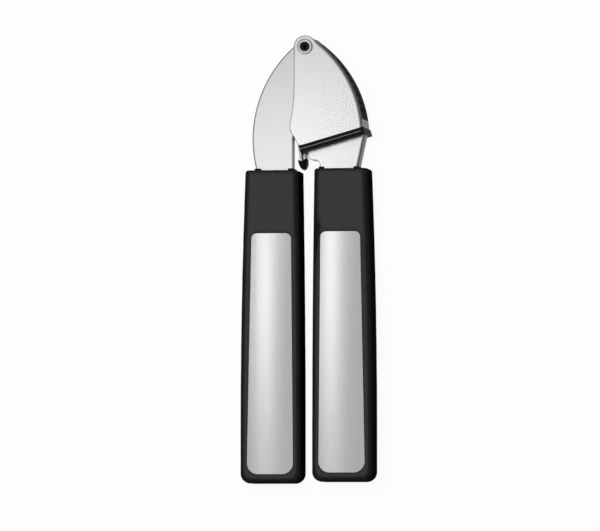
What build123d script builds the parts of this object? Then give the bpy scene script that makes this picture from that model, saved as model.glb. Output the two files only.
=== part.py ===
from build123d import *
from math import acos, asin, atan2, cos, degrees, hypot, radians, sin, sqrt, tan
import os

# Garlic press with a swing-out sieve basket, lying on its back and closed.
# Modelled about the hinge axis: X to the right, Y towards the head, Z along the hinge towards the front.
# At the end every piece is shifted so that the origin is the bottom centre of the whole tool.

# Driving dimensions in millimetres and degrees

# Clearances: pieces that sit in one another, the hinge, and pieces that move past each other
seat_gap = 0.05
running_gap = 0.06
body_gap = 0.3

# Sides of the small round holes and pins, which are many
small_round_sides = 12

# Sheet steel and the depth of the head
sheet = 1.5
head_depth = 24.6

# Hinge
lobe_radius = 5.1
shaft_radius = 2.6
front_head_radius = 3.5
front_head_height = 1.0
rear_head_radius = 3.7
rear_head_height = 0.8
rivet_head_bevel = 0.45
rivet_bore_radius = 2.0
rivet_bore_depth = 9.0
rivet_mouth_bevel = 0.35
washer_thickness = 0.6
washer_radius = 4.4
spacer_radius = 4.2

# Basket
basket_sheet = 1.2
basket_end_radius = 41.5
basket_ear_radius = 4.6

# Sieve plate
sieve_thickness = 1.5
sieve_inset = 0.3
sieve_top_y = -0.2
sieve_hole_radius = 1.05
sieve_rows = 9
sieve_columns = 5
sieve_side_margin = 2.05
sieve_top_margin = 5.2
sieve_end_margin = 3.6

# Cheeks of the hopper frame
cheek_reach = 26.35
cheek_arc_rise = 1.9
lobe_leave_angle = 71.0
flare_start_y = -16.0
flare_above_bar = 5.4
flare_width = 2.3
flare_corner_radius = 5.0
cheek_edge_round = 1.35

# Shoulder bar below the chamber
bar_angle = 16.0
bar_seat = 0.7
bar_thickness = 3.0
bar_left_x = -2.89
bar_overhang = 0.3
bar_proud = 0.65
bar_step = 0.35
bar_step_at = 1.5
bar_edge = 0.3
shelf_inset = 0.6
shelf_end_inset = 0.8

# Hopper tang between the shoulder and the grip
tang_foot_drop = 8.6
tang_left_inset = 2.4
tang_neck_inset = 2.3
tang_right_x = 23.1
tang_right_inset = 0.7
tang_depth = 10.0
tang_corner_radius = 2.0
tang_neck_radius = 2.5
tang_edge_round = 1.2

# Tang inserts in the grips and their cross pins
insert_length = 42.0
insert_width = 12.0
insert_shoulder = 1.2
tang_pin_radius = 2.0
tang_pin_first = 14.0
tang_pin_pitch = 18.0

# Lift tab and its cap
tab_angle = 8.0
tab_overlap = 1.9
tab_clear = 0.4
tab_thickness = 1.0
tab_width = 9.6
cap_length = 5.0
cap_left = 0.9
cap_right = 1.2
cap_tip_left = 0.0
cap_tip_right = 0.6
cap_tip_round = 0.7
cap_width = 10.6
cap_bevel = 0.4
cap_overhang = 2.4
cap_below_grip = 0.9

# Plunger arm
plunger_depth = 6.5
plunger_reach = 25.5
plunger_arc_rise = 1.2
plunger_lobe_radius = 4.6
plunger_leave_angle = 50.0
plunger_to_tab = 1.9
plunger_web_gap = 2.0
plunger_web_radius = 3.5
plunger_edge_bevel = 0.6

# Pusher carried by the plunger arm
pusher_gap = 0.5
pusher_plate = 3.0
pusher_end_plate = 2.5
pusher_start_radius = 9.5
pusher_rib = 2.2
pusher_rib_width = 9.0
pusher_pin_radius = 1.5
pusher_pin_inset = 8.0
pusher_pin_from_end = 9.0
pusher_pin_pitch = 11.0

# Grips, given for the right-hand one; the left-hand one is its mirror image, set lower by grip_drop
shoulder_to_grip = 12.6
grip_drop = 0.7
grip_length = 142.0
grip_thickness = 20.0
grip_wall = 1.75
grip_inner_top_x = 3.5
grip_inner_swell = 1.05
grip_outer_swell = 2.25
grip_taper_length = 114.0
grip_end_radius = 4.6
grip_round = 3.6
grip_top_bevel = 0.7
plunger_grip_corner = 1.7

# Cores inside the grips
core_depth = 13.0
core_floor = 26.0
core_recess = 0.4
core_corner = 1.5
core_shoulder = 2.25
boss_height = 1.0
boss_outside = 0.5
boss_inside = 1.9
boss_depth = 11.0

# Steel inlays in the front of the grips
inlay_from_top = 28.7
inlay_from_end = 4.2
inlay_top_width = 18.1
inlay_end_width = 21.2
inlay_top_radius = 2.5
inlay_end_radius = 5.0
inlay_recess = 1.2
inlay_crown_height = 0.55
inlay_crown_radius = 120.0

# Sizes that follow from the driving dimensions

FAR = 400.0


def bar_point(along, away):
    """Point given along the shoulder bar and away from the hinge."""
    angle = radians(bar_angle)
    return (along * cos(angle) + away * sin(angle), along * sin(angle) - away * cos(angle))


def arc_centre_x(reach, centre_y, x, y):
    """Centre, at a height, of the arc that passes a point and swells out to a reach at that height."""
    return (x ** 2 - reach ** 2 + (y - centre_y) ** 2) / (2 * (x - reach))


# Layers along the hinge axis, from the middle plane outwards
cheek_outer = head_depth / 2
cheek_inner = cheek_outer - sheet
basket_outer = cheek_inner - washer_thickness - body_gap
basket_inner = basket_outer - basket_sheet
pusher_half_width = basket_inner - body_gap
plunger_outer = plunger_depth / 2
plunger_inner = plunger_outer - sheet
tang_half = tang_depth / 2
grip_half = grip_thickness / 2

# Shoulder bar and what lies above and below it
seat_radius = basket_end_radius + body_gap
bar_distance = seat_radius + bar_seat
bar_left = bar_distance * tan(radians(bar_angle)) - bar_left_x / cos(radians(bar_angle))
shelf_top = bar_distance + shelf_inset
shelf_bottom = shelf_top + sheet
shelf_left = -bar_left + shelf_end_inset
flare_end_y = -bar_distance + flare_above_bar
tang_foot_y = -bar_distance - tang_foot_drop
grip_top_y = -bar_distance - shoulder_to_grip
grip_end_y = grip_top_y - grip_length
plunger_grip_y = grip_top_y - grip_drop

# Curved right-hand edge of the head
lobe_leave_x = lobe_radius * cos(radians(lobe_leave_angle))
lobe_leave_y = lobe_radius * sin(radians(lobe_leave_angle))
cheek_arc_y = -bar_distance + cheek_arc_rise
cheek_arc_x = arc_centre_x(cheek_reach, cheek_arc_y, lobe_leave_x, lobe_leave_y)
cheek_arc_radius = cheek_reach - cheek_arc_x


def arc_along(away):
    """How far along the bar's direction the curved edge lies, at a distance from the hinge."""
    angle = radians(bar_angle)
    centre_along = cheek_arc_x * cos(angle) + cheek_arc_y * sin(angle)
    centre_away = cheek_arc_x * sin(angle) - cheek_arc_y * cos(angle)
    return centre_along + sqrt(cheek_arc_radius ** 2 - (away - centre_away) ** 2)


bar_right = arc_along(bar_distance) + bar_overhang
shelf_right = bar_right - shelf_end_inset
basket_edge_inset = sieve_inset + sieve_thickness + seat_gap
pusher_face_inset = sieve_inset + sieve_thickness + pusher_gap
pusher_end_radius = basket_end_radius - basket_sheet - body_gap

# Lift tab, just left of the bar's end, and the neck of the plunger arm left of it
bar_corner = bar_point(-bar_left, bar_distance)
tab_top_y = -basket_end_radius + tab_overlap
tab_slope = tan(radians(tab_angle))
tab_right_x = bar_corner[0] - tab_clear - (tab_top_y - bar_corner[1]) * tab_slope
tab_top_x = tab_right_x - tab_thickness / cos(radians(tab_angle))
tab_drop = tab_top_y - grip_top_y + cap_below_grip
tab_length = tab_drop / cos(radians(tab_angle)) - cap_overhang
basket_left_x = min(-basket_ear_radius, tab_top_x)
plunger_neck_x = tab_top_x - plunger_to_tab
plunger_web_y = -pusher_end_radius + plunger_web_gap

# Curved left-hand edge of the plunger arm
plunger_leave_x = -plunger_lobe_radius * cos(radians(plunger_leave_angle))
plunger_leave_y = plunger_lobe_radius * sin(radians(plunger_leave_angle))
plunger_arc_y = -bar_distance + plunger_arc_rise
plunger_arc_x = arc_centre_x(-plunger_reach, plunger_arc_y, plunger_leave_x, plunger_leave_y)
plunger_arc_radius = plunger_arc_x + plunger_reach


def plunger_left_x(y):
    """Left edge of the plunger arm at a height."""
    return plunger_arc_x - sqrt(plunger_arc_radius ** 2 - (y - plunger_arc_y) ** 2)


# Tangs, cores and grips
tang_left_x = bar_point(-bar_left, bar_distance + bar_thickness)[0] + tang_left_inset
tang_neck_x = grip_inner_top_x + tang_neck_inset
tang_shoulder_right_x = bar_point(bar_right, bar_distance)[0] - tang_right_inset
hopper_insert_x = (tang_neck_x + tang_right_x) / 2
hopper_insert_y = grip_top_y - insert_shoulder
plunger_left_at_grip = plunger_left_x(plunger_grip_y)
plunger_insert_x = (plunger_neck_x + plunger_left_at_grip) / 2
plunger_insert_y = plunger_grip_y - insert_shoulder
core_inner_x = grip_inner_top_x + grip_wall
core_outer_x = max(tang_right_x, -plunger_left_at_grip) + boss_outside + core_shoulder
core_width = core_outer_x - core_inner_x
core_length = grip_length - core_floor
grip_outer_top_x = core_outer_x + grip_wall
grip_inner_end_x = grip_inner_top_x - grip_inner_swell
grip_outer_end_x = grip_outer_top_x + grip_outer_swell
grip_core_x = (core_inner_x + core_outer_x) / 2
inlay_end_x = (grip_inner_end_x + grip_outer_end_x) / 2
inlay_length = grip_length - inlay_from_top - inlay_from_end

# Place of the hinge in the finished tool
shaft_hole = shaft_radius + running_gap
rest_height = cheek_outer + max(bar_proud + bar_step, rear_head_height)
middle_y = (lobe_radius + grip_end_y - grip_drop) / 2


def slab(sketch, low, high):
    """Solid of a flat outline between two heights."""
    return Pos(0, 0, low) * extrude(sketch, high - low, dir=(0, 0, 1))


def pair(part):
    """A solid and its mirror image behind the middle plane."""
    return part + mirror(part, about=Plane.XY)


def bar_strip(left, right, near, far):
    """Flat outline between two distances from the hinge, in the direction of the shoulder bar."""
    return Polygon(bar_point(left, near), bar_point(right, near), bar_point(right, far),
                   bar_point(left, far), align=None)


def cheek_disc(inset):
    """Disc whose rim is the curved right-hand edge of the head, set in by an amount."""
    return Pos(cheek_arc_x, cheek_arc_y) * Circle(cheek_arc_radius - inset)


def arc_ring(outer_inset, inner_inset):
    """Band along the curved right-hand edge of the head."""
    return cheek_disc(outer_inset) - cheek_disc(inner_inset)


def below(height):
    """Large outline below a height."""
    return Pos(0, height) * Rectangle(FAR, FAR, align=(Align.CENTER, Align.MAX))


def tube(radius, hole, low, high):
    """Round piece along the hinge axis with a hole through it."""
    return slab(Circle(radius) - Circle(hole), low, high)


def peg(radius, length):
    """Small round pin, or the drill for its hole, about the middle plane."""
    return extrude(RegularPolygon(radius, small_round_sides), length / 2, both=True)


def rounded(outline, radius, *points):
    """Outline with the corners nearest to some points rounded."""
    face = outline.faces()[0]
    corners = [face.vertices().sort_by_distance(Vector(*point))[0] for point in points]
    return Sketch() + face.fillet_2d(radius, corners)


# Hopper frame

def cheek_outline():
    """One cheek: round lobe at the hinge, flared left edge, curved right edge, slanted lower end."""
    left_x = -lobe_radius
    flare_x = left_x - flare_width
    flare_mid = (left_x - flare_width / 4, (flare_start_y + flare_end_y) / 2)
    inner_corner = bar_point(shelf_left, bar_distance)
    foot = bar_point(shelf_left, shelf_bottom)
    far_foot = bar_point(2 * bar_right, shelf_bottom)
    far_top = (far_foot[0], lobe_leave_y)
    edges = [
        Line((0, 0), (left_x, 0)),
        Line((left_x, 0), (left_x, flare_start_y)),
        ThreePointArc((left_x, flare_start_y), flare_mid, (flare_x, flare_end_y)),
        Line((flare_x, flare_end_y), bar_corner),
        Line(bar_corner, inner_corner),
        Line(inner_corner, foot),
        Line(foot, far_foot),
        Line(far_foot, far_top),
        Line(far_top, (lobe_leave_x, lobe_leave_y)),
        Line((lobe_leave_x, lobe_leave_y), (0, 0)),
    ]
    outline = make_face(edges) & cheek_disc(0)
    return rounded(outline, flare_corner_radius, (flare_x, flare_end_y)) + Circle(lobe_radius)


def is_outer_rim(edge):
    """True for the curved right-hand edge of a cheek on its outer face."""
    on_arc = edge.geom_type == GeomType.CIRCLE and abs(edge.radius - cheek_arc_radius) < seat_gap
    return on_arc and edge.center().Z > cheek_outer - seat_gap


def bridge_zone():
    """Short wall under the end of the basket, along the curved edge down to the shelf."""
    return (arc_ring(0, sheet) & bar_strip(0, FAR, 0, shelf_bottom)) - Circle(seat_radius)


def hopper_cheek():
    """Cheek with its half of the wall under the basket."""
    cheek = slab(cheek_outline(), cheek_inner, cheek_outer)
    cheek = cheek + slab(bridge_zone(), 0, cheek_outer)
    return fillet(cheek.edges().filter_by(is_outer_rim), cheek_edge_round)


def tang_wall_x(y):
    """Outer wall of the tang, leaning in from the shoulder to the grip."""
    lean = (tang_right_x - tang_shoulder_right_x) / (grip_top_y + bar_distance)
    return tang_shoulder_right_x + lean * (y + bar_distance)


def tang_side(left_x, inset):
    """Side view between the shelf and the grip, from a left edge to the leaning wall, set in there."""
    foot_y = grip_top_y - insert_shoulder
    zone = Polygon((left_x, 0), (left_x, foot_y), (tang_wall_x(foot_y) - inset, foot_y),
                   (tang_wall_x(0) - inset, 0), align=None)
    return zone & bar_strip(-FAR, FAR, shelf_bottom, FAR)


def is_tang_rim(edge):
    """True for the front edge of the tang's leaning wall."""
    middle = edge.center()
    along = edge.tangent_at(0.5)
    return middle.X > tang_right_x - sheet and middle.Z > tang_half - seat_gap and abs(along.Y) > 0.7


def hopper_tang():
    """Front half of the channel that carries the head down into the grip."""
    notch = Polygon((-FAR, tang_foot_y), (tang_neck_x, tang_foot_y), (tang_neck_x, -FAR), (-FAR, -FAR),
                    align=None)
    outline = tang_side(tang_left_x, 0) - notch
    outline = rounded(outline, tang_corner_radius, (tang_left_x, tang_foot_y))
    outline = rounded(outline, tang_neck_radius, (tang_neck_x, tang_foot_y))
    solid = slab(outline, 0, tang_half)
    solid = fillet(solid.edges().filter_by(is_tang_rim), tang_edge_round)
    return solid - slab(tang_side(-FAR, sheet), 0, tang_half - sheet)


def tang_insert(centre_x, top_y, outer, inner):
    """Front plate of a tang's flat end inside the grip."""
    middle_of_insert = top_y - insert_length / 2
    return slab(Pos(centre_x, middle_of_insert) * Rectangle(insert_width, insert_length), inner, outer)


def pin_row(centre_x, top_y, radius, length):
    """Cross pins through a tang insert and its core."""
    first = top_y - tang_pin_first
    return [Pos(centre_x, first - index * tang_pin_pitch) * peg(radius, length) for index in range(2)]


def hopper_frame_half():
    """Front stamping: cheek, shelf, tang, insert and the wall under the basket."""
    shelf = slab(bar_strip(shelf_left, shelf_right, shelf_top, shelf_bottom), 0, cheek_outer)
    half = hopper_cheek() + shelf + hopper_tang()
    half = half + tang_insert(hopper_insert_x, hopper_insert_y, tang_half, tang_half - sheet)
    half = half - pin_row(hopper_insert_x, hopper_insert_y, tang_pin_radius + seat_gap, head_depth)
    return half - slab(Circle(shaft_radius + seat_gap), 0, head_depth)


# Shoulder collar

def shoulder_collar():
    """Moulded bar over the shelf, stepped along its faces, with a round seat for the end of the basket."""
    front = cheek_outer + bar_proud
    step = front + bar_step
    near = bar_distance
    far = bar_distance + bar_thickness
    profile = [(near, 0), (near, front), (near + bar_step_at, front), (near + bar_step_at + bar_step, step),
               (far - bar_edge, step), (far, step - bar_edge), (far, 0)]
    across = Polygon(*profile, align=None)
    across = across + mirror(across, about=Plane.XZ)
    along = Vector(*bar_point(1, 0))
    away = Vector(*bar_point(0, 1))
    start = Vector(*bar_point(-bar_left, 0))
    bar = extrude(Plane(start, x_dir=away, z_dir=along) * across, bar_left + bar_right, dir=along)
    seat = bar_strip(shelf_left, FAR, near - bar_left, near) & cheek_disc(sheet + seat_gap)
    bar = bar + slab(seat - Circle(seat_radius), -basket_inner, basket_inner)
    return bar - slab(Circle(seat_radius), -head_depth, head_depth) - collar_pocket()


def collar_pocket():
    """Room for the shelf, the feet of the cheeks and the top of the tang."""
    shelf = bar_strip(shelf_left - seat_gap, shelf_right + seat_gap,
                      shelf_top - seat_gap, shelf_bottom + seat_gap)
    pocket = slab(shelf, -cheek_outer - seat_gap, cheek_outer + seat_gap)
    feet = bar_strip(shelf_left - seat_gap, FAR, 0, shelf_bottom + seat_gap) & cheek_disc(-seat_gap)
    left_feet = bar_strip(-bar_left, FAR, 0, bar_distance) & cheek_disc(-seat_gap)
    pocket = pocket + pair(slab(feet, cheek_inner - seat_gap, cheek_outer + seat_gap))
    bridge_feet = feet & arc_ring(-seat_gap, sheet + seat_gap)
    pocket = pocket + slab(bridge_feet, -cheek_outer, cheek_outer)
    pocket = pocket + pair(slab(left_feet, cheek_inner - seat_gap, cheek_outer + seat_gap))
    tang = tang_side(tang_left_x - seat_gap, -seat_gap)
    return pocket + slab(tang, -tang_half - seat_gap, tang_half + seat_gap)


# Hinge

def rivet_head(radius, low, high, outer):
    """Low round head, bevelled on its outer rim."""
    head = slab(Circle(radius), low, high)
    return chamfer(head.edges().group_by(Axis.Z)[outer], rivet_head_bevel)


def is_mouth_edge(edge):
    """True for the rim of the rivet's bore."""
    on_rim = edge.geom_type == GeomType.CIRCLE and abs(edge.radius - rivet_bore_radius) < seat_gap
    return on_rim and edge.center().Z > cheek_outer


def hinge_rivet():
    """Semi-tubular rivet: front head with an open bore, low rear head."""
    front = cheek_outer + front_head_height
    rivet = slab(Circle(shaft_radius), -cheek_outer, cheek_outer)
    rivet = rivet + rivet_head(front_head_radius, cheek_outer, front, -1)
    rivet = rivet + rivet_head(rear_head_radius, -cheek_outer - rear_head_height, -cheek_outer, 0)
    rivet = rivet - slab(Circle(rivet_bore_radius), front - rivet_bore_depth, front)
    return chamfer(rivet.edges().filter_by(is_mouth_edge), rivet_mouth_bevel)


def hinge_washers():
    """Washers between the cheeks and the ears of the basket."""
    front = tube(washer_radius, shaft_radius + seat_gap, cheek_inner - washer_thickness, cheek_inner)
    return [front, mirror(front, about=Plane.XY)]


def hinge_spacers():
    """Tubes on the rivet that keep the plunger arm in the middle of the basket."""
    front = tube(spacer_radius, shaft_hole, plunger_outer, basket_inner - body_gap)
    return [front, mirror(front, about=Plane.XY)]


# Basket

def tab_point(along, aside):
    """Point along the lift tab and to the right of its left face."""
    angle = radians(tab_angle)
    return (tab_top_x + along * sin(angle) + aside * cos(angle),
            tab_top_y - along * cos(angle) + aside * sin(angle))


def tab_strip(near, far, left, right):
    """Flat outline along the lift tab."""
    return Polygon(tab_point(near, left), tab_point(near, right),
                   tab_point(far, right), tab_point(far, left), align=None)


def right_of(x):
    """Large outline to the right of a place."""
    return Pos(x, 0) * Rectangle(FAR, FAR, align=(Align.MIN, Align.CENTER))


def basket_zone():
    """Side view of the basket: behind the curved edge, inside the end radius, right of the lift tab."""
    return Circle(basket_end_radius) & cheek_disc(basket_edge_inset) & right_of(basket_left_x) & below(0)


def basket_shell():
    """Side walls with hinge ears, curved end wall and lift tab."""
    wall = basket_zone() + Circle(basket_ear_radius) - Circle(shaft_hole)
    walls = pair(slab(wall, basket_inner, basket_outer))
    end = basket_zone() - Circle(basket_end_radius - basket_sheet)
    end = end & below(-basket_end_radius / 2)
    end_wall = slab(end, -basket_inner, basket_inner)
    tab = tab_strip(0, tab_length, 0, tab_thickness) - Circle(basket_end_radius - basket_sheet)
    return walls + end_wall + slab(tab, -tab_width / 2, tab_width / 2)


def sieve_row_angles():
    """Angles of the rows of holes about the centre of the curved edge, from the hinge downwards."""
    radius = cheek_arc_radius - sieve_inset - sieve_thickness / 2
    hinge_distance = hypot(cheek_arc_x, cheek_arc_y)
    end_distance = basket_end_radius - basket_sheet
    square_sum = hinge_distance ** 2 + radius ** 2 - end_distance ** 2
    turn = acos(square_sum / (2 * hinge_distance * radius))
    first = asin((sieve_top_y - cheek_arc_y) / radius) - sieve_top_margin / radius
    last = atan2(-cheek_arc_y, -cheek_arc_x) - turn + sieve_end_margin / radius
    return [first + (last - first) * row / (sieve_rows - 1) for row in range(sieve_rows)]


def sieve_strip():
    """Side view of the sieve: a narrow flat for each row of holes, and one row's worth beyond each end."""
    rows = sieve_row_angles()
    step = rows[0] - rows[1]
    outer = cheek_arc_radius - sieve_inset
    inner = outer - sieve_thickness
    folds = [rows[0] + step * (2.5 - index) for index in range(sieve_rows + 5)]
    along = [(outer, angle) for angle in folds] + [(inner, angle) for angle in reversed(folds)]
    points = [(cheek_arc_x + r * cos(angle), cheek_arc_y + r * sin(angle)) for r, angle in along]
    strip = Polygon(*points, align=None) & below(sieve_top_y) & Circle(basket_end_radius)
    return strip - Circle(plunger_lobe_radius + body_gap)


def sieve_holes():
    """Holes square to the sieve, in rows down its curve and columns across it."""
    radius = cheek_arc_radius - sieve_inset - sieve_thickness / 2
    half_span = basket_inner - sieve_side_margin
    bit = peg(sieve_hole_radius, 2 * sieve_thickness)
    holes = []
    for angle in sieve_row_angles():
        for column in range(sieve_columns):
            z = half_span * (2 * column / (sieve_columns - 1) - 1)
            drill = Pos(radius, 0, z) * Rot(0, 90, 0) * bit
            holes.append(Pos(cheek_arc_x, cheek_arc_y) * Rot(0, 0, degrees(angle)) * drill)
    return holes


def sieve_plate():
    """Curved plate over the open edge of the basket, pierced by rows of round holes."""
    return slab(sieve_strip(), -basket_outer, basket_outer) - sieve_holes()


def lift_tab_cap():
    """Soft pointed cap pushed over the lower end of the lift tab."""
    end = tab_length + cap_overhang
    start = end - cap_length
    tip = [tab_point(end, tab_thickness + cap_tip_right), tab_point(end, -cap_tip_left)]
    mouth = [tab_point(start, -cap_left), tab_point(start, tab_thickness + cap_right)]
    body = Polygon(*mouth, *tip, align=None)
    cap = slab(rounded(body, cap_tip_round, *tip), -cap_width / 2, cap_width / 2)
    ends = cap.faces().sort_by(Axis.Z)
    cap = chamfer(ends[0].edges() + ends[-1].edges(), cap_bevel)
    slot = tab_strip(0, tab_length + seat_gap, -seat_gap, tab_thickness + seat_gap)
    return cap - slab(slot, -tab_width / 2 - seat_gap, tab_width / 2 + seat_gap)


# Plunger arm

def plunger_disc(inset):
    """Disc whose rim is the curved left-hand edge of the plunger arm, set in by an amount."""
    return Pos(plunger_arc_x, plunger_arc_y) * Circle(plunger_arc_radius - inset)


def plunger_outline():
    """Side view: curved left edge, neck down to the grip, web reaching into the chamber."""
    foot_y = plunger_grip_y - insert_shoulder
    neck = Polygon((plunger_neck_x, plunger_leave_y), (-FAR, plunger_leave_y), (-FAR, foot_y),
                   (plunger_neck_x, foot_y), align=None)
    web = Polygon((-FAR, plunger_leave_y), (-FAR, plunger_web_y), (FAR, plunger_web_y), (FAR, -shaft_hole),
                  (0, plunger_leave_y), align=None)
    web = web & cheek_disc(pusher_face_inset + pusher_plate + seat_gap)
    web = web & Circle(pusher_end_radius - pusher_end_plate - seat_gap)
    outline = (neck + web) & plunger_disc(0)
    return rounded(outline, plunger_web_radius, (plunger_neck_x, plunger_web_y))


def is_plunger_rim(edge):
    """True for the curved left-hand edges of the plunger arm."""
    on_arc = edge.geom_type == GeomType.CIRCLE and abs(edge.radius - plunger_arc_radius) < seat_gap
    return on_arc and abs(edge.center().Z) > plunger_outer - seat_gap


def neck_wall():
    """Right-hand wall of the neck, which closes it below the web."""
    top_y = plunger_web_y - plunger_web_radius
    return Pos(plunger_neck_x, top_y) * Rectangle(2 * sheet, FAR, align=(Align.CENTER, Align.MAX))


def plunger_frame():
    """Steel folded along its curved edge, open towards the pusher."""
    outline = plunger_outline()
    solid = slab(outline, -plunger_outer, plunger_outer)
    solid = chamfer(solid.edges().filter_by(is_plunger_rim), plunger_edge_bevel)
    solid = solid + slab(Circle(plunger_lobe_radius), -plunger_outer, plunger_outer)
    hollow = (outline & plunger_disc(sheet)) - neck_wall() + Circle(plunger_lobe_radius + seat_gap)
    solid = solid - slab(hollow, -plunger_inner, plunger_inner)
    solid = solid + pair(tang_insert(plunger_insert_x, plunger_insert_y, plunger_outer, plunger_inner))
    solid = solid - pin_row(plunger_insert_x, plunger_insert_y, tang_pin_radius + seat_gap, head_depth)
    solid = solid - pusher_pins(pusher_pin_radius + seat_gap)
    return solid - slab(Circle(shaft_hole), -head_depth, head_depth)


def pusher_zone():
    """Side view bounded by the pusher's working face and its end."""
    reach = cheek_disc(pusher_face_inset) & Circle(pusher_end_radius) & below(0)
    return reach - Circle(pusher_start_radius)


def plunger_block():
    """Pusher: curved face plate and end plate, with ribs that clasp the web of the arm."""
    whole = pusher_zone() & right_of(plunger_neck_x + plunger_web_radius + seat_gap)
    face = arc_ring(pusher_face_inset, pusher_face_inset + pusher_plate) & whole
    end = whole - Circle(pusher_end_radius - pusher_end_plate)
    end = end & below(-pusher_end_radius / 2)
    block = slab(face + end, -pusher_half_width, pusher_half_width)
    rib_zone = whole & arc_ring(pusher_face_inset, pusher_face_inset + pusher_plate + pusher_rib_width)
    ribs = pair(slab(rib_zone, plunger_outer + seat_gap, plunger_outer + seat_gap + pusher_rib))
    return block + ribs - pusher_pins(pusher_pin_radius + seat_gap)


def pusher_pins(radius):
    """Cross pins that hold the pusher's ribs to the web of the arm."""
    length = 2 * (plunger_outer + seat_gap + pusher_rib)
    pins = []
    for index in range(2):
        away = pusher_end_radius - pusher_pin_from_end - index * pusher_pin_pitch
        place = Pos(*bar_point(arc_along(away) - pusher_face_inset - pusher_pin_inset, away))
        pins.append(place * peg(radius, length))
    return pins


# Grips, cores and inlays, built on the right-hand side

def bowed_side(top_x, end_x):
    """Long side of a grip: bowed out over the taper, then straight to the end."""
    taper_y = grip_top_y - grip_taper_length
    bow = (end_x + (top_x - end_x) / 4, grip_top_y - grip_taper_length / 2)
    bowed = ThreePointArc((top_x, grip_top_y), bow, (end_x, taper_y))
    return [bowed, Line((end_x, taper_y), (end_x, grip_end_y))]


def grip_body():
    """Rounded grip without its pockets."""
    inner = bowed_side(grip_inner_top_x, grip_inner_end_x)
    outer = bowed_side(grip_outer_top_x, grip_outer_end_x)
    top = Line((grip_inner_top_x, grip_top_y), (grip_outer_top_x, grip_top_y))
    end = Line((grip_inner_end_x, grip_end_y), (grip_outer_end_x, grip_end_y))
    corners = [(grip_inner_end_x, grip_end_y), (grip_outer_end_x, grip_end_y)]
    outline = rounded(make_face(inner + outer + [top, end]), grip_end_radius, *corners)
    body = slab(outline, -grip_half, grip_half)
    long_edges = [e for e in body.edges() if abs(abs(e.center().Z) - grip_half) < seat_gap
                  and e.center().Y < grip_top_y - seat_gap]
    body = fillet(long_edges, grip_round)
    return chamfer(body.faces().sort_by(Axis.Y)[-1].edges(), grip_top_bevel)


def core_block(grow):
    """Moulded core inside the grip."""
    top_y = grip_top_y - core_recess
    section = Pos(grip_core_x, top_y - core_length / 2)
    block = section * Box(core_width + 2 * grow, core_length, core_depth + 2 * grow)
    return fillet(block.edges().filter_by(Axis.Y), core_corner)


def core_bosses(left_x, right_x):
    """Small bosses that stand out of the grip at the two edges of the tang."""
    bosses = []
    spans = [(left_x - boss_outside, left_x + boss_inside), (right_x - boss_inside, right_x + boss_outside)]
    length = boss_height + core_recess + sheet
    for low, high in spans:
        place = Pos((low + high) / 2, grip_top_y + boss_height - length / 2)
        bosses.append(place * Box(high - low, length, boss_depth))
    return bosses


def inlay_outline(grow):
    """Front view of the steel inlay."""
    top_y = grip_top_y - inlay_from_top
    end_y = top_y - inlay_length
    half_top = inlay_top_width / 2
    half_end = inlay_end_width / 2
    top = [(grip_core_x - half_top, top_y), (grip_core_x + half_top, top_y)]
    end = [(inlay_end_x + half_end, end_y), (inlay_end_x - half_end, end_y)]
    outline = rounded(Polygon(*top, *end, align=None), inlay_top_radius, *top)
    outline = rounded(outline, inlay_end_radius, *end)
    return offset(outline, grow) if grow else outline


def inlay_plate():
    """Brushed plate, crowned across its width, in the recess of the grip."""
    plate = slab(inlay_outline(0), grip_half - inlay_recess + seat_gap, grip_half + inlay_crown_height)
    middle_of_inlay = grip_top_y - inlay_from_top - inlay_length / 2
    centre_x = (grip_core_x + inlay_end_x) / 2
    axis_z = grip_half + inlay_crown_height - inlay_crown_radius
    crown = Rot(90, 0, 0) * Cylinder(inlay_crown_radius, 2 * inlay_length)
    return plate & (Pos(centre_x, middle_of_inlay, axis_z) * crown)


def corner_cut():
    """What the rounder inner top corner of the plunger's grip takes away."""
    corner = Pos(grip_inner_top_x, grip_top_y) * Rectangle(2 * plunger_grip_corner, 2 * plunger_grip_corner)
    centre = Pos(grip_inner_top_x + plunger_grip_corner, grip_top_y - plunger_grip_corner)
    cut = corner & (centre * Rectangle(2 * plunger_grip_corner, 2 * plunger_grip_corner))
    return slab(cut - centre * Circle(plunger_grip_corner), -grip_half, grip_half)


def grip_shell():
    """Grip with the pocket for its core and the recess for its inlay."""
    recess = slab(inlay_outline(seat_gap), grip_half - inlay_recess, grip_half + inlay_crown_height)
    mouth = Pos(grip_core_x, grip_top_y) * Box(core_width + 2 * seat_gap, 2 * core_recess + 2 * core_corner,
                                               core_depth + 2 * seat_gap)
    mouth = fillet(mouth.edges().filter_by(Axis.Y), core_corner)
    return grip_body() - core_block(seat_gap) - mouth - recess


def left_hand(part):
    """A right-hand grip piece as its left-hand mirror image, at the height of the left grip."""
    return Pos(0, -grip_drop) * mirror(part, about=Plane.YZ)


def hopper_neck():
    """Room for the hopper tang in the mouth of its grip."""
    sill = Pos(hopper_insert_x, hopper_insert_y) * Rectangle(tang_right_x - tang_neck_x, 2 * seat_gap)
    neck = tang_side(tang_neck_x - seat_gap, -seat_gap) + sill
    return slab(neck, -tang_half - seat_gap, tang_half + seat_gap)


def plunger_neck():
    """Room for the plunger arm in the mouth of its grip."""
    left_x = plunger_left_x(plunger_grip_y + boss_height) - seat_gap
    right_x = plunger_neck_x + seat_gap
    foot_y = plunger_insert_y - seat_gap
    length = insert_shoulder + boss_height + 3 * seat_gap
    place = Pos((left_x + right_x) / 2, foot_y + length / 2)
    return place * Box(right_x - left_x, length, plunger_depth + 2 * seat_gap)


def handle_core(block, neck, insert_x, insert_y, depth):
    """Core with the pocket of an arm's tang and the holes of its cross pins."""
    pocket = Pos(insert_x, insert_y - insert_length / 2)
    pocket = pocket * Box(insert_width + 2 * seat_gap, insert_length + 2 * seat_gap, depth + 2 * seat_gap)
    holes = pin_row(insert_x, insert_y, tang_pin_radius + seat_gap, grip_thickness)
    return block - neck - pocket - holes


# The pieces of the tool, by name

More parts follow.
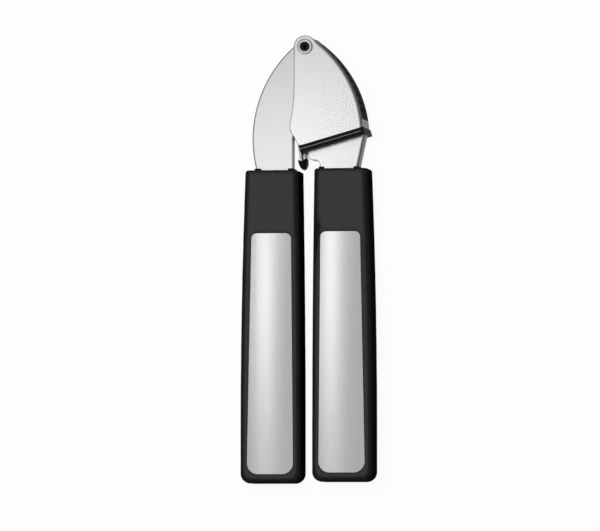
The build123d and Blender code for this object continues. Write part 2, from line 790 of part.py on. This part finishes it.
hopper_front = hopper_frame_half()
right_core = core_block(0) + core_bosses(tang_neck_x, tang_right_x)
left_bosses = [Pos(0, -grip_drop) * boss for boss in core_bosses(plunger_left_at_grip, plunger_neck_x)]
left_core = left_hand(core_block(0)) + left_bosses
right_grip = grip_shell()
right_inlay = inlay_plate()

pieces = {
    "hopper_frame_front": hopper_front,
    "hopper_frame_rear": mirror(hopper_front, about=Plane.XY),
    "shoulder_collar": shoulder_collar(),
    "hinge_rivet": hinge_rivet(),
    "hinge_washers": hinge_washers(),
    "hopper_core": handle_core(right_core, hopper_neck(), hopper_insert_x, hopper_insert_y, tang_depth),
    "hopper_grip": right_grip,
    "hopper_inlay": right_inlay,
    "hopper_tang_pins": pin_row(hopper_insert_x, hopper_insert_y, tang_pin_radius, core_depth),
    "basket_shell": basket_shell(),
    "sieve_plate": sieve_plate(),
    "lift_tab_cap": lift_tab_cap(),
    "plunger_frame": plunger_frame(),
    "plunger_block": plunger_block(),
    "plunger_block_pins": pusher_pins(pusher_pin_radius),
    "hinge_spacers": hinge_spacers(),
    "plunger_core": handle_core(left_core, plunger_neck(), plunger_insert_x, plunger_insert_y,
                                plunger_depth),
    "plunger_grip": left_hand(right_grip - corner_cut()),
    "plunger_inlay": left_hand(right_inlay),
    "plunger_tang_pins": pin_row(plunger_insert_x, plunger_insert_y, tang_pin_radius, core_depth),
}

os.makedirs("parts", exist_ok=True)
to_origin = Pos(0, -middle_y, rest_height)
for name, piece in pieces.items():
    solids = piece if isinstance(piece, list) else piece.solids()
    export_step(Compound([to_origin * solid for solid in solids]), f"parts/{name}.step")
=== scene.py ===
import math

import bmesh
import bpy
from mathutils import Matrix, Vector


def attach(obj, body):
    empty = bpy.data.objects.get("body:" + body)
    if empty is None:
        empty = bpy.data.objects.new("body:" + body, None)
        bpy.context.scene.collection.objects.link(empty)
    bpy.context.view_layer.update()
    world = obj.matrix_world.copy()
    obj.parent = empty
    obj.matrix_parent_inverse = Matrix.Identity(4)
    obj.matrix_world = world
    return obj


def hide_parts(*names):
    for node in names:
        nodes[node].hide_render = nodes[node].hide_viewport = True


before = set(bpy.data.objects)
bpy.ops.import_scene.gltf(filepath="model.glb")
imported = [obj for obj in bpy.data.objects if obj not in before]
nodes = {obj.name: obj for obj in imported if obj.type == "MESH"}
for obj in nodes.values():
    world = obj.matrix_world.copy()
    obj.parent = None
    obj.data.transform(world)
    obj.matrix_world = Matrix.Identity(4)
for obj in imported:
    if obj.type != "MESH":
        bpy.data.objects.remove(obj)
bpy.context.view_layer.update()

millimetre = 0.001

# Photograph: its width in pixels, its scale at the middle of the tool,
# and the point of the tool that falls on its centre
image_width = 600
metres_per_pixel = 0.0004543
image_centre = Vector((-0.0041, -0.0024, 0.0133))

# Camera: nearly straight down, a little from the tool's right-hand side and from its grip end
camera_distance = 3.0
camera_from_right = math.radians(8.5)
camera_from_grips = math.radians(2.5)

# Floor, main lamp and ambient light
floor_size = 3.0
floor_glow = 0.94
floor_albedo = 0.9
floor_bounce = 0.3
floor_roughness = 0.9
floor_specular = 0.1
key_place = Vector((-0.08, 0.10, 1.10))
key_size = 0.4
key_power = 9.0
ambient = 0.08

# Studio as polished metal sees it: white at the horizon, dim above, darker to both sides,
# with one soft box high on the left and a smaller, lower one for the head
horizon_level = 1.0
horizon_height = 0.12
dim_level = 0.52
dim_from_height = 0.45
side_share = 0.5
side_from = 0.25
side_full = 0.65
softbox_place = Vector((-0.234, 0.036, 1.10))
softbox_size = (0.12, 0.12)
softbox_level = 2.5
head_light_place = Vector((-0.067, 0.085, 0.50))
head_light_size = (0.06, 0.06)
head_light_level = 0.78

# Surfaces: the part of the noise that is used, and how much the colour and roughness vary
noise_low = 0.3
noise_high = 0.7
steel_roughness_swing = 3
moulded_contrast = 0.15
moulded_roughness_swing = 0.1

# Painted edge shade: side walls and edges are painted darker, as if in shade. How far a surface
# faces the front or back where it is darkest and where it is plain, the reach from the edge in
# millimetres, and the reflectance of such steel at a glancing angle
edge_samples = 8
steel_wall_facing = 0.75
steel_plain_facing = 0.995
steel_edge_reach = 1.4
steel_edge_glance = 0.55
moulded_wall_facing = 0.86
moulded_plain_facing = 1.0
moulded_edge_reach = 4.0

# Rivet, in millimetres about the hinge
hinge = Vector((0.0, 96.35, 13.3))
cheek_outer = 12.3
front_head_radius = 3.5
front_head_height = 1.0
rear_head_radius = 3.7
rear_head_height = 0.8
head_rounding = 0.4
shaft_radius = 2.6
bore_radius = 2.0
bore_step_radius = 1.25
bore_step_depth = 2.6
bore_depth = 8.8
rivet_around = 72

# Light line along the bar below the chamber, in millimetres about the hinge
bar_angle = math.radians(16.0)
bar_seam_distance = 44.2
bar_seam_left = -15.0
bar_seam_right = 14.0
bar_seam_level = 13.05
bar_seam_radius = 0.2
bead_crease = math.radians(60.0)

# Lift tab: its cap and its folded end, in millimetres along the tab and to the right of its
# left face; the shoulder and the taper are shares of the cap's length and width
tab_top = (-5.06, -39.6)
tab_angle = math.radians(8.0)
cap_start = 11.2
cap_length = 4.95
cap_middle = 0.85
cap_half_width = 2.05
cap_half_depth = 5.3
cap_notch = 1.0
cap_shoulder = 0.3
cap_shoulder_power = 2.4
cap_taper = 0.6
cap_tip_power = 9
cap_corner_power = 0.5
cap_crease = math.radians(50.0)
fold_top = 9.15
fold_turn = 12.4
fold_width = 2.6
fold_sheet = 1.0
fold_half_depth = 3.6

# Upper end of the sieve on the curved edge of the head, in millimetres about the hinge
sieve_arc_centre = (-27.78, -40.6)
sieve_arc_radius = 53.80
sieve_upper_from = math.radians(48.0)
sieve_upper_to = math.radians(52.8)
sieve_upper_skin = 0.4
sieve_half_depth = 9.9


# Shader building blocks

def grey(level):
    """Neutral colour of a level."""
    return (level, level, level)


def new_material(name, level, roughness, metallic=0.0, specular=0.5):
    """Neutral material with the values that are the same all over set on the shader itself."""
    material = bpy.data.materials.new(name)
    material.use_nodes = True
    shader = material.node_tree.nodes["Principled BSDF"]
    shader.inputs["Base Color"].default_value = (*grey(level), 1.0)
    shader.inputs["Roughness"].default_value = roughness
    shader.inputs["Metallic"].default_value = metallic
    shader.inputs["Specular IOR Level"].default_value = specular
    return material, shader


def grain(material, size, detail=2.0):
    """Noise whose grains have a size in millimetres along each axis of the tool."""
    tree = material.node_tree
    place = tree.nodes.new("ShaderNodeTexCoord")
    stretch = tree.nodes.new("ShaderNodeMapping")
    stretch.inputs["Scale"].default_value = [1.0 / (length * millimetre) for length in size]
    noise = tree.nodes.new("ShaderNodeTexNoise")
    noise.inputs["Scale"].default_value = 1.0
    noise.inputs["Detail"].default_value = detail
    tree.links.new(place.outputs["Object"], stretch.inputs["Vector"])
    tree.links.new(stretch.outputs["Vector"], noise.inputs["Vector"])
    return noise.outputs["Fac"]


def vary_value(material, socket, pattern, middle, swing):
    """Lets a pattern move one of the shader's values by a share to both sides of its middle."""
    spread = material.node_tree.nodes.new("ShaderNodeMapRange")
    spread.inputs["From Min"].default_value = noise_low
    spread.inputs["From Max"].default_value = noise_high
    spread.inputs["To Min"].default_value = middle * (1 - swing)
    spread.inputs["To Max"].default_value = middle * (1 + swing)
    material.node_tree.links.new(pattern, spread.inputs["Value"])
    material.node_tree.links.new(spread.outputs["Result"], socket)


def vary_colour(material, socket, pattern, middle, swing):
    """Lets a pattern move a neutral colour by a share to both sides of its middle."""
    ramp = material.node_tree.nodes.new("ShaderNodeValToRGB")
    low, high = ramp.color_ramp.elements
    low.position = noise_low
    low.color = (*grey(middle * (1 - swing)), 1.0)
    high.position = noise_high
    high.color = (*grey(middle * (1 + swing)), 1.0)
    material.node_tree.links.new(pattern, ramp.inputs["Fac"])
    material.node_tree.links.new(ramp.outputs["Color"], socket)


def emboss(material, shader, pattern, height):
    """Raises the surface by a pattern, to a height in millimetres."""
    bump = material.node_tree.nodes.new("ShaderNodeBump")
    bump.inputs["Distance"].default_value = height * millimetre
    material.node_tree.links.new(pattern, bump.inputs["Height"])
    material.node_tree.links.new(bump.outputs["Normal"], shader.inputs["Normal"])


def fade(tree, value, start, end, first, last):
    """Smooth change from one level to another as a value goes from start to end."""
    node = tree.nodes.new("ShaderNodeMapRange")
    node.interpolation_type = "SMOOTHSTEP"
    node.inputs["From Min"].default_value = start
    node.inputs["From Max"].default_value = end
    node.inputs["To Min"].default_value = first
    node.inputs["To Max"].default_value = last
    tree.links.new(value, node.inputs["Value"])
    return node.outputs["Result"]


def size_along(tree, vector, axis):
    """How long a vector is along an axis, without its sign."""
    split = tree.nodes.new("ShaderNodeSeparateXYZ")
    unsigned = tree.nodes.new("ShaderNodeMath")
    unsigned.operation = "ABSOLUTE"
    tree.links.new(vector, split.inputs["Vector"])
    tree.links.new(split.outputs[axis], unsigned.inputs[0])
    return unsigned.outputs["Value"]


def paint_edge_shade(material, socket, edge_shade_share, wall_facing, plain_facing, reach):
    """Paints shade into a varied colour: darker from the flat faces to the side walls, to a share
    of itself.
    """
    tree = material.node_tree
    rounding = tree.nodes.new("ShaderNodeBevel")
    rounding.samples = edge_samples
    rounding.inputs["Radius"].default_value = reach * millimetre
    facing = size_along(tree, rounding.outputs["Normal"], "Z")
    share = fade(tree, facing, wall_facing, plain_facing, edge_shade_share, 1.0)
    toned = tree.nodes.new("ShaderNodeVectorMath")
    toned.operation = "SCALE"
    tree.links.new(socket.links[0].from_socket, toned.inputs["Vector"])
    tree.links.new(share, toned.inputs["Scale"])
    tree.links.new(toned.outputs["Vector"], socket)


# Materials

def steel(name, level, roughness, size, relief, contrast=0.03, edge_shade_share=None):
    """Stainless steel with a finish grain of a size and relief in millimetres."""
    material, shader = new_material(name, level, roughness, metallic=1.0)
    pattern = grain(material, size)
    colour = shader.inputs["Base Color"]
    swing = steel_roughness_swing * contrast
    vary_colour(material, colour, pattern, level, contrast)
    vary_value(material, shader.inputs["Roughness"], pattern, roughness, swing)
    emboss(material, shader, pattern, relief)
    # Painted shade: side walls and edges are darkened by how little they face the front or back.
    if edge_shade_share:
        paint_edge_shade(material, colour, edge_shade_share, steel_wall_facing, steel_plain_facing,
                   steel_edge_reach)
        shader.inputs["Specular Tint"].default_value = (*grey(steel_edge_glance), 1.0)
    return material


def moulded(name, level, roughness, size, relief, specular=0.4, edge_shade_share=None,
            edge_reach=moulded_edge_reach):
    """Moulded plastic or rubber with a fine texture of a size and relief in millimetres."""
    material, shader = new_material(name, level, roughness, specular=specular)
    pattern = grain(material, size, detail=4.0)
    colour = shader.inputs["Base Color"]
    vary_colour(material, colour, pattern, level, moulded_contrast)
    vary_value(material, shader.inputs["Roughness"], pattern, roughness, moulded_roughness_swing)
    emboss(material, shader, pattern, relief)
    # Painted shade: side walls and edges are darkened by how little they face the front or back.
    if edge_shade_share:
        paint_edge_shade(material, colour, edge_shade_share, moulded_wall_facing, moulded_plain_facing,
                   edge_reach)
    return material


# An edge shade share gives a material painted shade on its side walls and edges.
sheet_steel = steel("sheet_steel", 0.93, 0.24, (0.25, 6.0, 6.0), 0.0005, contrast=0.015,
                    edge_shade_share=0.1)
# Painted shade: the same steel as the front sheet, with its colour set darker for the inner frame,
# the basket and the tab fold.
inner_steel_shaded = steel("inner_steel_shaded", 0.82, 0.24, (0.25, 6.0, 6.0), 0.0005, contrast=0.015,
                    edge_shade_share=0.1)
inlay_steel = steel("inlay_steel", 0.76, 0.23, (0.12, 9.0, 9.0), 0.0012, contrast=0.02)
rivet_steel = steel("rivet_steel", 0.80, 0.24, (0.8, 0.8, 0.8), 0.003, edge_shade_share=0.3)
bead_steel = steel("bead_steel", 0.45, 0.35, (0.6, 0.6, 0.6), 0.004)
pin_steel = steel("pin_steel", 0.70, 0.30, (0.6, 0.6, 4.0), 0.004)
# Painted shade: the rivet's bore is coloured near black, as if in shadow.
bore_painted_shade = moulded("bore_painted_shade", 0.012, 0.45, (0.6, 0.6, 0.6), 0.01)
grip_black = moulded("grip_black", 0.050, 0.75, (0.35, 0.35, 0.35), 0.02, specular=0.0,
                     edge_shade_share=0.35)
core_black = moulded("core_black", 0.010, 0.60, (0.5, 0.5, 0.5), 0.01, specular=0.04)
collar_black = moulded("collar_black", 0.014, 0.50, (0.6, 0.6, 0.6), 0.01, specular=0.01,
                       edge_shade_share=0.25, edge_reach=0.5)
cap_black = moulded("cap_black", 0.008, 0.60, (0.4, 0.4, 0.4), 0.015, specular=0.04)
sieve_black = moulded("sieve_black", 0.009, 0.65, (0.4, 0.4, 0.4), 0.006, specular=0.01)
pusher_black = moulded("pusher_black", 0.020, 0.42, (0.5, 0.5, 0.5), 0.01)
white_nylon = moulded("white_nylon", 0.75, 0.45, (0.5, 0.5, 0.5), 0.01)

finishes = {
    sheet_steel: ["hopper_frame_front", "hopper_frame_rear"],
    inner_steel_shaded: ["plunger_frame", "basket_shell"],
    inlay_steel: ["hopper_inlay", "plunger_inlay"],
    pin_steel: ["hopper_tang_pins", "plunger_tang_pins", "plunger_block_pins"],
    grip_black: ["hopper_grip", "plunger_grip"],
    core_black: ["hopper_core", "plunger_core"],
    collar_black: ["shoulder_collar"],
    sieve_black: ["sieve_plate"],
    pusher_black: ["plunger_block"],
    white_nylon: ["hinge_washers", "hinge_spacers"],
}
for finish, names in finishes.items():
    for name in names:
        for holder in nodes[name].material_slots:
            holder.material = finish


# Pieces with finer forms than the solids

def add_piece(name, shape, body, materials, replaced=(), crease=math.radians(40.0)):
    """Piece made from a shape, smooth up to a crease angle, that moves with a body."""
    bmesh.ops.recalc_face_normals(shape, faces=shape.faces)
    for face in shape.faces:
        face.smooth = True
    for edge in shape.edges:
        edge.smooth = edge.calc_face_angle(0.0) < crease
    mesh = bpy.data.meshes.new(name)
    shape.to_mesh(mesh)
    shape.free()
    piece = bpy.data.objects.new(name, mesh)
    for material in materials:
        mesh.materials.append(material)
    bpy.context.collection.objects.link(piece)
    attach(piece, body)
    if replaced:
        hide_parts(*replaced)


def about_hinge(x, y, height):
    """Place in metres from millimetres about the hinge and above the tool's middle plane."""
    return (hinge + Vector((x, y, height))) * millimetre


def bar_point(along, away, height):
    """Place along the bar, away from the hinge, and above the tool's middle plane."""
    x = along * math.cos(bar_angle) + away * math.sin(bar_angle)
    y = along * math.sin(bar_angle) - away * math.cos(bar_angle)
    return about_hinge(x, y, height)


def tab_point(along, aside, height):
    """Place along the lift tab, right of its left face, and above the tool's middle plane."""
    x = tab_top[0] + along * math.sin(tab_angle) + aside * math.cos(tab_angle)
    y = tab_top[1] - along * math.cos(tab_angle) + aside * math.sin(tab_angle)
    return about_hinge(x, y, height)


def join_rings(shape, rings, capped=True):
    """Skin over rings with equal numbers of points, with a face on both ends where it is capped."""
    for low, high in zip(rings, rings[1:]):
        for step in range(len(low)):
            beside = (step + 1) % len(low)
            shape.faces.new([low[step], low[beside], high[beside], high[step]])
    if capped:
        shape.faces.new(rings[0])
        shape.faces.new(rings[-1])


def rounded_corner(centre, radius, start, end, steps):
    """Points of an arc in a lathe's profile, between two angles in degrees."""
    angles = [math.radians(start + (end - start) * step / steps) for step in range(steps + 1)]
    return [(centre[0] + radius * math.cos(a), centre[1] + radius * math.sin(a)) for a in angles]


def rivet_profile():
    """Half section of the rivet from the middle of its rear head to the bottom of its bore."""
    rear = -cheek_outer - rear_head_height
    front = cheek_outer + front_head_height
    edge = head_rounding
    profile = [(0.0, rear), (rear_head_radius / 2, rear)]
    profile += rounded_corner((rear_head_radius - edge, rear + edge), edge, -90.0, 0.0, 5)
    profile += [(rear_head_radius, -cheek_outer), (shaft_radius, -cheek_outer)]
    profile += [(shaft_radius, cheek_outer), (front_head_radius, cheek_outer)]
    profile += rounded_corner((front_head_radius - edge, front - edge), edge, 0.0, 90.0, 6)
    profile += rounded_corner((bore_radius + edge, front - edge), edge, 90.0, 180.0, 6)
    profile += [(bore_radius, front - bore_step_depth), (bore_step_radius, front - bore_step_depth)]
    profile += [(bore_step_radius, front - bore_depth), (0.0, front - bore_depth)]
    return profile


def lathe(profile, around, shaded_within):
    """Turned shape about the hinge axis.

    Faces inside a radius and in front of the tool's middle plane take the second material, which
    paints shade into the bore.
    """
    tiny = 1e-6
    turns = [2 * math.pi * step / around for step in range(around)]
    shape = bmesh.new()
    rings = []
    for radius, height in profile:
        if radius < tiny:
            points = [about_hinge(0.0, 0.0, height)]
        else:
            points = [about_hinge(radius * math.cos(turn), radius * math.sin(turn), height)
                      for turn in turns]
        rings.append([shape.verts.new(point) for point in points])
    for (low, high), (first, second) in zip(zip(rings, rings[1:]), zip(profile, profile[1:])):
        inside = max(first[0], second[0]) <= shaded_within + tiny and min(first[1], second[1]) > 0
        for step in range(around):
            corners = [low[step % len(low)], low[(step + 1) % len(low)],
                       high[(step + 1) % len(high)], high[step % len(high)]]
            face = shape.faces.new(list(dict.fromkeys(corners)))
            face.material_index = 1 if inside else 0
    return shape


def bead(side):
    """Slim round steel bead, half sunk in the step of the bar's front or rear face."""
    around = 8
    shape = bmesh.new()
    rings = []
    for along in (bar_seam_left, bar_seam_right):
        ring = []
        for step in range(around):
            turn = 2 * math.pi * step / around
            away = bar_seam_distance + bar_seam_radius * math.cos(turn)
            height = side * (bar_seam_level + bar_seam_radius * math.sin(turn))
            ring.append(shape.verts.new(bar_point(along, away, height)))
        rings.append(ring)
    join_rings(shape, rings)
    return shape


def cap_outline(turn):
    """Point of a square with well rounded corners, from minus one to one."""
    across, deep = math.cos(turn), math.sin(turn)
    return (math.copysign(abs(across) ** cap_corner_power, across),
            math.copysign(abs(deep) ** cap_corner_power, deep))


def tab_cap():
    """Soft cap of the lift tab: notched mouth, tapering to a rounded tongue."""
    around, steps, left_for_tip = 48, 16, 0.35
    shape = bmesh.new()
    rings = []
    for step in range(steps + 1):
        share = step / (steps + left_for_tip)
        past_shoulder = max(0.0, (share - cap_shoulder) / (1 - cap_shoulder))
        depth = cap_half_depth * math.sqrt(1 - past_shoulder ** cap_shoulder_power)
        tongue = math.sqrt(1 - share ** cap_tip_power)
        width = cap_half_width * (1 - cap_taper * share ** 2) * tongue
        ring = []
        for index in range(around):
            across, deep = cap_outline(2 * math.pi * index / around)
            notch = cap_notch * (1 - abs(across)) * (1 - share)
            along = cap_start + notch + share * cap_length
            aside = cap_middle + width * across
            ring.append(shape.verts.new(tab_point(along, aside, depth * deep)))
        rings.append(ring)
    join_rings(shape, rings, capped=False)
    mouth = shape.verts.new(tab_point(cap_start + cap_notch, cap_middle, 0.0))
    tip = shape.verts.new(tab_point(cap_start + cap_length, cap_middle, 0.0))
    for index in range(around):
        beside = (index + 1) % around
        shape.faces.new([mouth, rings[0][beside], rings[0][index]])
        shape.faces.new([tip, rings[-1][index], rings[-1][beside]])
    return shape


def tab_fold():
    """End of the lift tab, turned back up inside the cap and ending below the bar."""
    steps = 10
    outer, inner = fold_width / 2, fold_width / 2 - fold_sheet
    shape = bmesh.new()
    rings = []
    for step in range(steps + 2):
        turn = math.pi / 2 - math.pi * max(step - 1, 0) / steps
        ring = []
        for radius, side in ((outer, 1), (outer, -1), (inner, -1), (inner, 1)):
            along = fold_turn + radius * math.cos(turn) if step else fold_top
            aside = fold_width / 2 + radius * math.sin(turn)
            ring.append(shape.verts.new(tab_point(along, aside, side * fold_half_depth)))
        rings.append(ring)
    join_rings(shape, rings)
    return shape


def sieve_upper_edge():
    """Plain upper end of the sieve plate, which curves up to the hinge."""
    steps = 10
    outer, inner = sieve_arc_radius, sieve_arc_radius - sieve_upper_skin
    shape = bmesh.new()
    rings = []
    for step in range(steps + 1):
        turn = sieve_upper_from + (sieve_upper_to - sieve_upper_from) * step / steps
        ring = []
        for radius, side in ((outer, 1), (outer, -1), (inner, -1), (inner, 1)):
            x = sieve_arc_centre[0] + radius * math.cos(turn)
            y = sieve_arc_centre[1] + radius * math.sin(turn)
            ring.append(shape.verts.new(about_hinge(x, y, side * sieve_half_depth)))
        rings.append(ring)
    join_rings(shape, rings)
    return shape


rivet = lathe(rivet_profile(), rivet_around, bore_radius)
add_piece("rivet", rivet, "hopper_arm", [rivet_steel, bore_painted_shade], ["hinge_rivet"])
add_piece("bar_bead_front", bead(1), "hopper_arm", [bead_steel], crease=bead_crease)
add_piece("bar_bead_rear", bead(-1), "hopper_arm", [bead_steel], crease=bead_crease)
add_piece("tab_cap", tab_cap(), "basket", [cap_black], ["lift_tab_cap"], cap_crease)
add_piece("tab_fold", tab_fold(), "basket", [inner_steel_shaded])
add_piece("sieve_upper_edge", sieve_upper_edge(), "basket", [sieve_black])


# Stage

def shown_rays(tree, path):
    """One for the rays that show the background: camera, glossy and transmission rays."""
    shown = path.outputs["Is Camera Ray"]
    for name in ("Is Glossy Ray", "Is Transmission Ray"):
        either = tree.nodes.new("ShaderNodeMath")
        either.operation = "MAXIMUM"
        tree.links.new(shown, either.inputs[0])
        tree.links.new(path.outputs[name], either.inputs[1])
        shown = either.outputs["Value"]
    return shown


def make_floor():
    """Pale floor that is white to the camera and to metal, and still takes the tool's shadow."""
    bpy.ops.mesh.primitive_plane_add(size=floor_size)
    floor = bpy.context.object
    floor.name = "floor"
    material, shader = new_material("floor_white", floor_albedo, floor_roughness,
                                    specular=floor_specular)
    tree = material.node_tree
    path = tree.nodes.new("ShaderNodeLightPath")
    glow = tree.nodes.new("ShaderNodeEmission")
    glow.inputs["Color"].default_value = (*grey(1.0), 1.0)
    bounce = tree.nodes.new("ShaderNodeBsdfDiffuse")
    bounce.inputs["Color"].default_value = (*grey(floor_bounce), 1.0)
    share = tree.nodes.new("ShaderNodeMath")
    share.operation = "MULTIPLY"
    share.inputs[1].default_value = floor_glow
    lit = tree.nodes.new("ShaderNodeMixShader")
    whole = tree.nodes.new("ShaderNodeMixShader")
    tree.links.new(shown_rays(tree, path), share.inputs[0])
    tree.links.new(path.outputs["Is Diffuse Ray"], lit.inputs["Fac"])
    tree.links.new(shader.outputs["BSDF"], lit.inputs[1])
    tree.links.new(bounce.outputs["BSDF"], lit.inputs[2])
    tree.links.new(share.outputs["Value"], whole.inputs["Fac"])
    tree.links.new(lit.outputs["Shader"], whole.inputs[1])
    tree.links.new(glow.outputs["Emission"], whole.inputs[2])
    tree.links.new(whole.outputs["Shader"], tree.nodes["Material Output"].inputs["Surface"])
    floor.data.materials.append(material)


def make_world():
    """Even ambient light, white to the camera; metal sees a studio with dark sides."""
    world = bpy.data.worlds.new("studio")
    bpy.context.scene.world = world
    world.use_nodes = True
    tree = world.node_tree
    background = tree.nodes["Background"]
    background.inputs["Color"].default_value = (*grey(1.0), 1.0)
    direction = tree.nodes.new("ShaderNodeTexCoord").outputs["Generated"]
    split = tree.nodes.new("ShaderNodeSeparateXYZ")
    tree.links.new(direction, split.inputs["Vector"])
    above = fade(tree, split.outputs["Z"], horizon_height, dim_from_height, 0.0, 1.0)
    sideways = size_along(tree, direction, "X")
    dim = fade(tree, sideways, side_from, side_full, dim_level, dim_level * side_share)
    path = tree.nodes.new("ShaderNodeLightPath")
    studio = tree.nodes.new("ShaderNodeMix")
    studio.inputs["A"].default_value = horizon_level
    reflected = tree.nodes.new("ShaderNodeMix")
    reflected.inputs["A"].default_value = ambient
    seen = tree.nodes.new("ShaderNodeMix")
    seen.inputs["B"].default_value = 1.0
    tree.links.new(above, studio.inputs["Factor"])
    tree.links.new(dim, studio.inputs["B"])
    tree.links.new(path.outputs["Is Glossy Ray"], reflected.inputs["Factor"])
    tree.links.new(studio.outputs["Result"], reflected.inputs["B"])
    tree.links.new(path.outputs["Is Camera Ray"], seen.inputs["Factor"])
    tree.links.new(reflected.outputs["Result"], seen.inputs["A"])
    tree.links.new(seen.outputs["Result"], background.inputs["Strength"])


def add_lamp(name, data, place):
    """Puts a lamp at a place and aims it at the tool."""
    lamp = bpy.data.objects.new(name, data)
    lamp.location = place
    lamp.rotation_euler = (image_centre - place).to_track_quat("-Z", "Y").to_euler()
    bpy.context.collection.objects.link(lamp)
    return lamp


def make_key_lamp():
    """Large lamp overhead that lights the tool, without showing in the metal."""
    data = bpy.data.lights.new("key_lamp", "AREA")
    data.shape = "DISK"
    data.size = key_size
    data.energy = key_power
    add_lamp("key_lamp", data, key_place).visible_glossy = False


def make_softbox(name, place, size, level):
    """Soft box overhead, whose reflection shades the metal from its middle outwards."""
    data = bpy.data.lights.new(name, "AREA")
    data.shape = "RECTANGLE"
    data.size, data.size_y = size
    data.energy = level * math.pi * data.size * data.size_y
    add_lamp(name, data, place)


def make_camera():
    """Camera at the photograph's viewing angle and framing."""
    data = bpy.data.cameras.new("camera")
    data.lens = data.sensor_width * camera_distance / (image_width * metres_per_pixel)
    camera = bpy.data.objects.new("camera", data)
    camera.rotation_euler = (camera_from_grips, camera_from_right, 0.0)
    back = camera.rotation_euler.to_matrix() @ Vector((0.0, 0.0, 1.0))
    camera.location = image_centre + camera_distance * back
    bpy.context.collection.objects.link(camera)
    bpy.context.scene.camera = camera


make_floor()
make_world()
make_key_lamp()
make_softbox("softbox", softbox_place, softbox_size, softbox_level)
make_softbox("head_light", head_light_place, head_light_size, head_light_level)
make_camera()
bpy.context.scene.view_settings.view_transform = "Standard"
